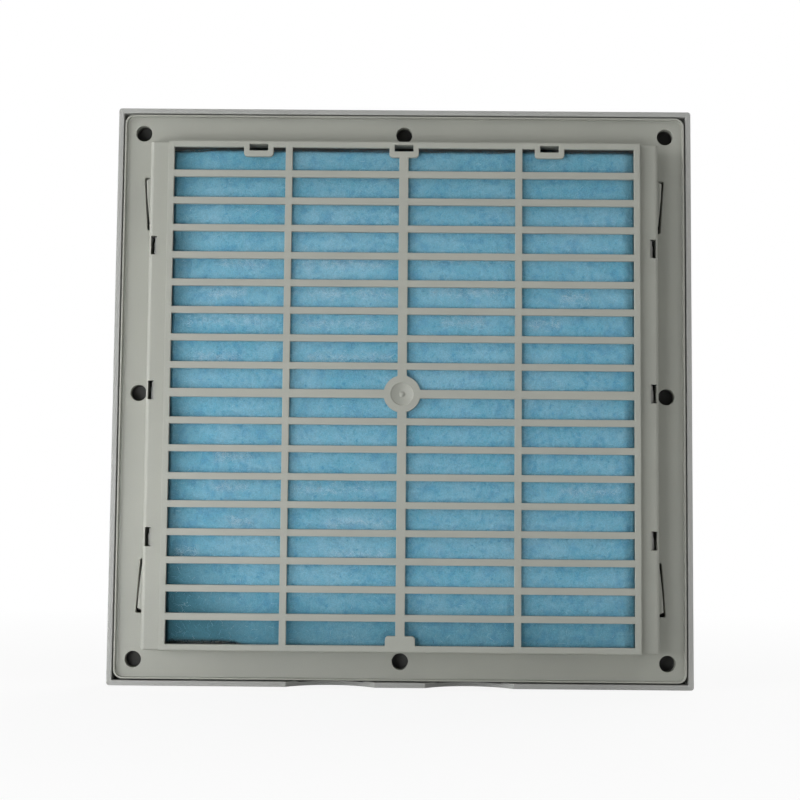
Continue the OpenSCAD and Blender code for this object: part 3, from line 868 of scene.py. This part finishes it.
def make_mat(shape):
    """The soft mat: two lumpy faces joined by rounded cut edges."""
    x, z = mat_grid(shape)
    rear = np.stack([x, shape.rear_face(x, z), z], -1).reshape(-1, 3)
    front = np.stack([x, shape.front_face(x, z), z], -1).reshape(-1, 3)
    index = np.arange(x.size).reshape(x.shape)
    rim = grid_rim(index)
    rings = []
    for k in range(1, MAT_SIDE_RINGS + 1):
        share = k / (MAT_SIDE_RINGS + 1)
        ring = rear[rim] * (1 - share) + front[rim] * share
        at_top = soft_step((ring[:, 2] - shape.high_z) / MM + 2)
        rise = RIDGE_RISE * np.exp(-(((ring[:, 1] - RIDGE_PLACE) / RIDGE_HALF_WIDTH) ** 4))
        ring[:, 2] += rise * at_top
        rings.append(ring)
    points = np.concatenate([rear, *rings, front])
    front_start = x.size + MAT_SIDE_RINGS * len(rim)
    squares = grid_squares(index)
    quads = [squares, squares[:, ::-1] + front_start]
    loops = [rim]
    for k in range(MAT_SIDE_RINGS):
        loops.append(x.size + k * len(rim) + np.arange(len(rim)))
    loops.append(rim + front_start)
    for a, b in zip(loops[:-1], loops[1:]):
        quads.append(np.stack([np.roll(a, -1), a, b, np.roll(b, -1)], -1))
    mesh = bpy.data.meshes.new("filter_mat_fibre")
    mesh.from_pydata(points.tolist(), [], np.concatenate(quads).tolist())
    mesh.update()
    mesh.shade_smooth()
    across = points[:, 0]
    up = points[:, 2]
    # Painted shade: grey is laid on the ridge, along the edges, at the top and in the lower left
    # corner
    ridge_shade = soft_step((up - shape.high_z) / RIDGE_SHADE_HEIGHT + RIDGE_SHADE_SHIFT)
    shade = np.maximum(shape.shade(across, up), ridge_shade)
    for label, values in (("pale_share", shape.pale(across, up)), ("painted_shade_share", shade)):
        layer = mesh.attributes.new(label, "FLOAT", "POINT")
        layer.data.foreach_set("value", values.astype(np.float32))
    return new_object("filter_mat_fibre", mesh)


def strand_tubes(name, paths, radius):
    """Thin tubes with pointed ends along paths, an array of strands by points by coordinates."""
    count, steps = paths.shape[:2]
    ahead = np.gradient(paths, axis=1)
    ahead /= np.linalg.norm(ahead, axis=2, keepdims=True)
    beside = np.cross(ahead, np.array([0.0, -1.0, 0.0]))
    beside /= np.maximum(np.linalg.norm(beside, axis=2, keepdims=True), 1e-9)
    over = np.cross(beside, ahead)
    t = np.linspace(-1, 1, steps)
    thick = radius * (1 - 0.7 * np.abs(t) ** 3)[None, :, None, None]
    turn = (2 * math.pi * np.arange(STRAND_SIDES) / STRAND_SIDES)[:, None]
    wall = np.cos(turn) * beside[:, :, None] + np.sin(turn) * over[:, :, None]
    points = (paths[:, :, None, :] + thick * wall).reshape(-1, 3)
    index = np.arange(len(points)).reshape(count, steps, STRAND_SIDES)
    near = index[:, :-1]
    far = index[:, 1:]
    sides = np.stack([np.roll(near, -1, axis=2), near, far, np.roll(far, -1, axis=2)], -1)
    caps = np.concatenate([index[:, 0], index[:, -1, ::-1]])
    mesh = bpy.data.meshes.new(name)
    mesh.from_pydata(points.tolist(), [], sides.reshape(-1, 4).tolist() + caps.tolist())
    mesh.update()
    mesh.shade_smooth()
    return new_object(name, mesh)


def lying_paths(shape, rng, x, z, length, arch, spread, radius):
    """Paths of strands that lie on the mat's face about the given places."""
    t = np.linspace(-0.5, 0.5, STRAND_STEPS)[None, :]
    turn = rng.normal(0, spread, len(x))[:, None]
    bend = rng.uniform(-0.5, 0.5, len(x))[:, None]
    twist = rng.uniform(-0.3, 0.3, len(x))[:, None]
    length = length[:, None]
    along = length * t
    aside = length * (bend * (4 * t**2 - 1) * 0.5 + twist * (4 * t**3 - t) * 2)
    px = x[:, None] + along * np.cos(turn) - aside * np.sin(turn)
    pz = z[:, None] + along * np.sin(turn) + aside * np.cos(turn)
    px = np.clip(px, -WINDOW_REACH + SIDE_MARGIN, WINDOW_REACH - SIDE_MARGIN)
    pz = np.clip(pz, shape.low_z + BOTTOM_MARGIN, shape.high_z - TOP_MARGIN)
    py = shape.rear_face(px, pz) - arch[:, None] * (1 - 4 * t**2) - 0.3 * radius
    py = shape.clear_of_bars(px, py, pz) + radius
    return np.stack([px, py, pz], -1)


def scattered(shape, rng, count, in_streaks):
    """Places on the mat's face, a share of them in the pale streaks."""
    pick = np.array(PALE_STREAKS_MM)[rng.integers(0, len(PALE_STREAKS_MM), count)] * MM
    streak_x = pick[:, 0] + pick[:, 2] * rng.uniform(-1, 1, count)
    streak_z = pick[:, 1] + STREAK_HALF_HEIGHT * rng.normal(0, 0.7, count)
    chosen = rng.random(count) < in_streaks
    x = np.where(chosen, streak_x, rng.uniform(-WINDOW_REACH, WINDOW_REACH, count))
    z = np.where(chosen, streak_z, rng.uniform(shape.low_z, shape.high_z, count))
    return x, z


def face_strands(shape, name, look):
    """Loose strands on the mat's face behind the grille."""
    rng = np.random.default_rng(look["seed"])
    x, z = scattered(shape, rng, look["count"], look["in_streaks"])
    length = rng.uniform(*look["length"], look["count"])
    arch = rng.uniform(0.0, look["arch"], look["count"])
    paths = lying_paths(shape, rng, x, z, length, arch, look["spread"], look["radius"])
    return strand_tubes(name, paths, look["radius"])


def edge_strands(shape, name, look):
    """Fuzz along the mat's cut top and bottom edges."""
    rng = np.random.default_rng(look["seed"])
    count = look["count"]
    x = rng.uniform(-WINDOW_REACH, WINDOW_REACH, count)
    at_top = rng.random(count) < look["at_top"]
    bottom = shape.low_z + shape.bottom_lift(x)
    below_top = rng.uniform(*FUZZ_BELOW_TOP_MM, count) * MM
    above_bottom = rng.uniform(*FUZZ_ABOVE_BOTTOM_MM, count) * MM
    z = np.where(at_top, shape.high_z - below_top, bottom + above_bottom)
    y = shape.rear_face(x, z) + rng.uniform(*FUZZ_DEPTH_MM, count) * MM
    length = rng.uniform(*look["length"], count)[:, None]
    t = np.linspace(-0.5, 0.5, STRAND_STEPS)[None, :]
    hanging = ~at_top & (rng.random(count) < look["hanging"])
    turn = rng.normal(0, look["spread"], count)
    turn = np.where(hanging, math.pi / 2 + 0.3 * turn, turn)[:, None]
    bend = rng.uniform(-0.5, 0.5, count)[:, None]
    along = length * t
    aside = length * bend * (4 * t**2 - 1)
    px = x[:, None] + along * np.cos(turn) - aside * np.sin(turn)
    pz = z[:, None] + along * np.sin(turn) + aside * np.cos(turn)
    pz = np.clip(pz, shape.low_z, shape.high_z + look["stand_out"])
    px = np.clip(px, -WINDOW_REACH, WINDOW_REACH)
    py = y[:, None] + along * rng.uniform(-0.3, 0.3, count)[:, None]
    py = shape.clear_of_bars(px, py, pz) + look["radius"]
    return strand_tubes(name, np.stack([px, py, pz], -1), look["radius"])


def fibre_colour_group():
    """Blue felt with pale streaks, mottle and dark flecks, and a greyer painted shade along its
    edges, at its top and in its lower left corner.
    """
    tree, entry, leave = new_group(
        "fibre_colour",
        [
            ("Blue", "NodeSocketColor", (0.2, 0.46, 0.6, 1)),
            ("Pale", "NodeSocketColor", (0.6, 0.75, 0.85, 1)),
            ("Deep", "NodeSocketColor", (0.05, 0.2, 0.35, 1)),
            ("Shade Grey", "NodeSocketColor", (0.2, 0.3, 0.3, 1)),
            ("White", "NodeSocketColor", (0.8, 0.82, 0.82, 1)),
            ("Pale Share", "NodeSocketFloat", 0.0),
            ("Shade Share", "NodeSocketFloat", 0.0),
            ("Cloud Size", "NodeSocketFloat", 0.02),
            ("Blotch Size", "NodeSocketFloat", 0.005),
            ("Mottle Size", "NodeSocketFloat", 0.0025),
            ("Fibre Size", "NodeSocketFloat", 0.0006),
        ],
        [("Colour", "NodeSocketColor"), ("Height", "NodeSocketFloat")],
    )
    places = add_node(tree, "ShaderNodeTexCoord", (-1100, -300))
    cloud = noise_of_size(tree, places, entry, "Cloud Size", (-700, 400), 3.0)
    blotch = noise_of_size(tree, places, entry, "Blotch Size", (-700, 700), 3.0, 0.6)
    mottle = noise_of_size(tree, places, entry, "Mottle Size", (-700, 100), 4.0, 0.65)
    fibre = noise_of_size(tree, places, entry, "Fibre Size", (-700, -200), 3.0, 0.7)
    cloudy = range_node(tree, (-480, 400), cloud, 0, 0.35, 0.70, 0.0, 0.32)
    mottled = range_node(tree, (-480, 100), mottle, 0, 0.40, 0.75, 0.0, 0.30)
    flecked = range_node(tree, (-480, -60), mottle, 0, 0.40, 0.68, 0.1, 0.50)
    blotched = range_node(tree, (-480, 700), blotch, 0, 0.50, 0.66, 0.0, 0.42)
    streak = sum_node(tree, "MULTIPLY", (-280, 0), (flecked, 0), (entry, "Pale Share"))
    some = sum_node(tree, "ADD", (-280, 300), (cloudy, 0), (mottled, 0))
    pale = sum_node(tree, "ADD", (-80, 200), (some, 0), (streak, 0))
    pale.use_clamp = True
    speck = range_node(tree, (-80, -120), mottle, 0, 0.40, 0.27, 0.0, 0.7)
    deeper = sum_node(tree, "MAXIMUM", (100, -60), (speck, 0), (blotched, 0))
    parted = add_node(tree, "ShaderNodeSeparateXYZ", (-280, -500))
    wire(tree, places, "Object", parted, 0)
    frontward = range_node(tree, (-80, -500), parted, "Y", WHITE_FROM, WHITE_TO)
    tone = (entry, "Blue")
    layers = (
        (pale, 0, "Pale"),
        (deeper, 0, "Deep"),
        # grey painted shade
        (entry, "Shade Share", "Shade Grey"),
        (frontward, 0, "White"),
    )
    for step, (source, output, label) in enumerate(layers):
        place = (160 * step + 120, 300)
        tone = lay_over(tree, place, (source, output), tone, (entry, label))
    fine = range_node(tree, (120, -200), fibre, 0, 0.3, 0.7, 0.80, 1.20)
    speckled = add_node(tree, "ShaderNodeVectorMath", (780, 200), {"operation": "SCALE"})
    wire(tree, *tone, speckled, 0)
    wire(tree, fine, 0, speckled, "Scale")
    height = sum_node(tree, "MULTIPLY_ADD", (360, -200), (fibre, 0), 0.4)
    wire(tree, mottle, 0, height, 2)
    wire(tree, speckled, 0, leave, "Colour")
    wire(tree, height, 0, leave, "Height")
    return tree


def strand_colour_group():
    """Strand colour that changes from strand to strand and along each."""
    tree, entry, leave = new_group(
        "strand_colour",
        [
            ("Colour", "NodeSocketColor", (0.5, 0.6, 0.7, 1)),
            ("Other Colour", "NodeSocketColor", (0.7, 0.8, 0.9, 1)),
            ("Change Size", "NodeSocketFloat", 0.003),
        ],
        [("Colour", "NodeSocketColor"), ("Height", "NodeSocketFloat")],
    )
    places = add_node(tree, "ShaderNodeTexCoord", (-900, -300))
    change = noise_of_size(tree, places, entry, "Change Size", (-500, 0), 3.0, 0.7)
    share = range_node(tree, (-280, 0), change, 0, 0.35, 0.65)
    first = (entry, "Colour")
    tone = lay_over(tree, (0, 100), (share, 0), first, (entry, "Other Colour"))
    wire(tree, *tone, leave, "Colour")
    wire(tree, change, 0, leave, "Height")
    return tree


def fibre_felt(name, groups, look):
    """Bonded fibre felt."""
    material, shader = new_material(name, FELT_SURFACE)
    tree = material.node_tree
    felt = place_group(tree, groups["fibre"], (-300, 100), look)
    pale = add_node(tree, "ShaderNodeAttribute", (-600, 200), {"attribute_name": "pale_share"})
    lie = add_node(tree, "ShaderNodeAttribute", (-600, 0), {"attribute_name": "painted_shade_share"})
    wire(tree, pale, "Fac", felt, "Pale Share")
    wire(tree, lie, "Fac", felt, "Shade Share")
    wire(tree, felt, "Colour", shader, "Base Color")
    add_relief(tree, felt, shader, FELT_RELIEF)
    return material


def strand_fibre(name, groups, look):
    """Loose fibre, a little glossier than the bonded felt."""
    material, shader = new_material(name, STRAND_SURFACE)
    tree = material.node_tree
    fibre = place_group(tree, groups["strands"], (-300, 100), look["tones"])
    wire(tree, fibre, "Colour", shader, "Base Color")
    add_relief(tree, fibre, shader, STRAND_RELIEF)
    return material


FELT_LOOK = {
    "Blue": (0.128, 0.395, 0.542, 1),
    "Pale": (0.34, 0.56, 0.69, 1),
    "Deep": (0.05, 0.25, 0.46, 1),
    # tone of the painted shade
    "Shade Grey": (0.046, 0.172, 0.232, 1),
    "White": (0.78, 0.81, 0.82, 1),
    "Cloud Size": 0.020,
    "Blotch Size": 0.0045,
    "Mottle Size": 0.0022,
    "Fibre Size": 0.0005,
}
WHITE_STRANDS = {
    "tones": {
        "Colour": (0.34, 0.58, 0.70, 1),
        "Other Colour": (0.60, 0.75, 0.82, 1),
        "Change Size": 0.003,
    },
    "seed": 7,
    "count": 3400,
    "in_streaks": 0.75,
    "length": (1.0 * MM, 4.0 * MM),
    "arch": 0.22 * MM,
    "spread": 0.9,
    "radius": 0.035 * MM,
}
BLUE_STRANDS = {
    "tones": {
        "Colour": (0.10, 0.32, 0.50, 1),
        "Other Colour": (0.20, 0.46, 0.62, 1),
        "Change Size": 0.004,
    },
    "seed": 8,
    "count": 5200,
    "in_streaks": 0.0,
    "length": (1.0 * MM, 4.0 * MM),
    "arch": 0.22 * MM,
    "spread": 1.2,
    "radius": 0.05 * MM,
}
# Painted shade: the edge fuzz is coloured dark, as it lies in the shaded gaps above and below the
# mat
EDGE_FUZZ = {
    "tones": {
        "Colour": (0.04, 0.12, 0.16, 1),
        "Other Colour": (0.15, 0.30, 0.38, 1),
        "Change Size": 0.006,
    },
    "seed": 9,
    "count": 3000,
    "length": (1.0 * MM, 4.0 * MM),
    "spread": 0.9,
    "at_top": 0.6,
    "hanging": 0.6,
    "radius": 0.05 * MM,
    "stand_out": 0.9 * MM,
}
# Painted shadow: near-black hanging strands that draw the dark line under the mat's bottom edge
BOTTOM_SHADOW_FUZZ = {
    "tones": {
        "Colour": (0.006, 0.015, 0.02, 1),
        "Other Colour": (0.03, 0.08, 0.12, 1),
        "Change Size": 0.006,
    },
    "seed": 10,
    "count": 420,
    "length": (1.2 * MM, 4.2 * MM),
    "spread": 0.5,
    "at_top": 0.0,
    "hanging": 1.0,
    "radius": 0.12 * MM,
    "stand_out": 0.0,
}


def make_floor():
    """Pale round floor that fades into the white surroundings, clear when seen from below."""
    low = cad_low.z
    turns = [2 * math.pi * k / FLOOR_CORNERS for k in range(FLOOR_CORNERS)]
    ring = [(FLOOR_RADIUS * math.cos(t), FLOOR_RADIUS * math.sin(t), low) for t in turns]
    mesh = bpy.data.meshes.new("studio_floor")
    mesh.from_pydata(ring, [], [list(range(FLOOR_CORNERS))])
    floor = new_object("studio_floor", mesh)
    material, shader = new_material("floor_paper", FLOOR_SURFACE)
    tree = material.node_tree
    result = tree.nodes["Material Output"]
    glow = add_node(tree, "ShaderNodeEmission", (600, -300), values=PLAIN_GLOW)
    clear = add_node(tree, "ShaderNodeBsdfTransparent", (600, -500))
    path = add_node(tree, "ShaderNodeLightPath", (100, -300))
    skin = add_node(tree, "ShaderNodeNewGeometry", (-300, 300))
    away = add_node(tree, "ShaderNodeVectorMath", (-100, 200), {"operation": "LENGTH"})
    wire(tree, skin, "Position", away, 0)
    fade = range_node(tree, (100, 100), away, "Value", *FLOOR_FADE, FLOOR_GLOW_NEAR)
    share = sum_node(tree, "MULTIPLY", (300, -300), (path, "Is Camera Ray"), (fade, 0))
    lit = add_node(tree, "ShaderNodeMixShader", (800, -200))
    wire(tree, share, 0, lit, 0)
    wire(tree, shader, "BSDF", lit, 1)
    wire(tree, glow, "Emission", lit, 2)
    whole = add_node(tree, "ShaderNodeMixShader", (1000, 0))
    wire(tree, skin, "Backfacing", whole, 0)
    wire(tree, lit, 0, whole, 1)
    wire(tree, clear, 0, whole, 2)
    wire(tree, whole, 0, result, "Surface")
    mesh.materials.append(material)


def make_sky():
    """Soft surroundings with a brightness for each side, plain white to the camera."""
    world = bpy.data.worlds.new("studio_sky")
    bpy.context.scene.world = world
    world.use_nodes = True
    tree = world.node_tree
    tree.nodes.clear()
    places = add_node(tree, "ShaderNodeTexCoord", (-1100, 0))
    parted = add_node(tree, "ShaderNodeSeparateXYZ", (-920, 0))
    wire(tree, places, "Generated", parted, 0)
    light = add_node(tree, "ShaderNodeBackground", (100, 100), values={"Color": SKY_TONE})
    for row, (axis, sign, strength) in enumerate(SKY_SIDES):
        down = -200 * row
        turned = sum_node(tree, "MULTIPLY", (-740, down), (parted, axis), float(sign))
        kept = sum_node(tree, "MAXIMUM", (-560, down), (turned, 0), 0.0)
        share = sum_node(tree, "POWER", (-380, down), (kept, 0), 2.0)
        part = sum_node(tree, "MULTIPLY", (-200, down), (share, 0), strength)
        if row:
            part = sum_node(tree, "ADD", (-20, down), (part, 0), total)
        total = (part, 0)
    wire(tree, *total, light, "Strength")
    seen = add_node(tree, "ShaderNodeBackground", (100, -100), values=PLAIN_GLOW)
    path = add_node(tree, "ShaderNodeLightPath", (100, 400))
    result = add_node(tree, "ShaderNodeOutputWorld", (800, 0))
    both = add_node(tree, "ShaderNodeMixShader", (400, 0))
    wire(tree, path, "Is Camera Ray", both, 0)
    wire(tree, light, 0, both, 1)
    wire(tree, seen, 0, both, 2)
    wire(tree, both, 0, result, "Surface")


def make_lamp(name, light):
    """A square soft lamp that looks at the middle of the object."""
    data = bpy.data.lights.new(name, "AREA")
    data.shape = "SQUARE"
    data.size = light["size"]
    data.energy = light["watts"]
    data.color = light["tone"]
    lamp = new_object(name, data)
    lamp.location = light["place"]
    lamp.rotation_euler = (-Vector(light["place"])).to_track_quat("-Z", "Y").to_euler()
    lamp.visible_camera = False


make_camera()
bpy.context.scene.view_settings.view_transform = "Standard"
make_floor()
make_sky()
for lamp_name, lamp_values in LAMPS.items():
    make_lamp(lamp_name, lamp_values)

groups = {
    "grain": moulded_grain_group(),
    "edges": edge_highlight_group(),
    "dust": settled_dust_group(),
    "hollow_shade": painted_hollow_shade_group(),
    "fibre": fibre_colour_group(),
    "strands": strand_colour_group(),
}
finish_mouldings(groups)

mat_shape = MatShape(GrilleLayout())
mat = make_mat(mat_shape)
mat.data.materials.append(fibre_felt("mat_fibre", groups, FELT_LOOK))
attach(mat, "mat")
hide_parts("filter_mat")

for strands, look in (
    (face_strands(mat_shape, "mat_white_strands", WHITE_STRANDS), WHITE_STRANDS),
    (face_strands(mat_shape, "mat_blue_strands", BLUE_STRANDS), BLUE_STRANDS),
    (edge_strands(mat_shape, "mat_edge_fuzz", EDGE_FUZZ), EDGE_FUZZ),
    (edge_strands(mat_shape, "mat_bottom_shadow_fuzz", BOTTOM_SHADOW_FUZZ), BOTTOM_SHADOW_FUZZ),
):
    strands.data.materials.append(strand_fibre(strands.name + "_fibre", groups, look))
    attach(strands, "mat")
